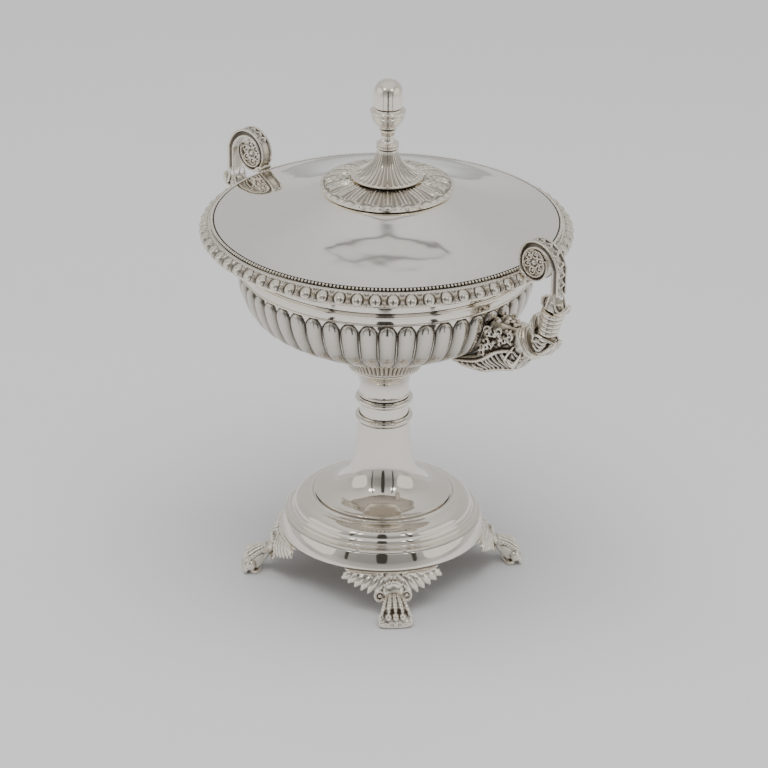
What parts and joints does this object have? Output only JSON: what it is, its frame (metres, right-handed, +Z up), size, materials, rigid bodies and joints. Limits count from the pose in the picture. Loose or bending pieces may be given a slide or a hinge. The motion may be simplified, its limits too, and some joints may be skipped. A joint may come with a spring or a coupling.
{
  "type": "covered sugar bowl",
  "caption": "Round covered silver sugar bowl on a pedestal foot with four paw feet, two scroll handles, gadrooned body and a lift-off lid with an acorn finial.",
  "frame": {"origin": "on the floor under the middle of the bowl", "axes": "+Z up, the two handles along X"},
  "size_m": [0.2022, 0.1578, 0.2253],
  "materials": {
    "silver_polished": "polished silver with fine wear",
    "silver_cast": "cast and chased silver, toned in the hollows",
    "silver_worn": "toned silver inside the lid"
  },
  "bodies": {
    "bowl": {"foot_skirt": "silver_polished", "foot_moulding": "silver_polished", "foot_trumpet": "silver_polished", "stem_tube": "silver_polished", "knop_ring_lower": "silver_polished", "knop_ring_upper": "silver_polished", "stem_spool": "silver_polished", "milled_ring": "silver_cast", "foot_1": "silver_cast", "foot_2": "silver_cast", "foot_3": "silver_cast", "foot_4": "silver_cast", "bowl_shell": "silver_polished", "rim_border": "silver_cast", "shoulder_wire": "silver_polished", "handle_leaf_right": "silver_cast", "handle_tie_right": "silver_cast", "handle_calyx_right": "silver_cast", "handle_rings_right": "silver_cast", "handle_sheath_right": "silver_cast", "handle_scroll_right": "silver_cast", "rosette_near_right": "silver_cast", "rosette_far_right": "silver_cast", "rim_leaf_right": "silver_cast", "handle_leaf_left": "silver_cast", "handle_tie_left": "silver_cast", "handle_calyx_left": "silver_cast", "handle_rings_left": "silver_cast", "handle_sheath_left": "silver_cast", "handle_scroll_left": "silver_cast", "rosette_near_left": "silver_cast", "rosette_far_left": "silver_cast", "rim_leaf_left": "silver_cast"},
    "lid": {"lid_plate": "silver_polished", "lid_bead_edge": "silver_cast", "lid_bezel": "silver_polished", "finial_calyx": "silver_cast", "finial_trumpet": "silver_cast", "finial_neck": "silver_cast", "acorn_cup": "silver_cast", "acorn_nut": "silver_polished", "finial_stud": "silver_worn", "finial_washer": "silver_worn", "finial_nut": "silver_worn"}
  },
  "joints": [
    {"name": "lid_lift", "type": "slide", "parent": "bowl", "child": "lid", "axis": [0, 0, 1], "range_m": [0, 0.08]}
  ]
}
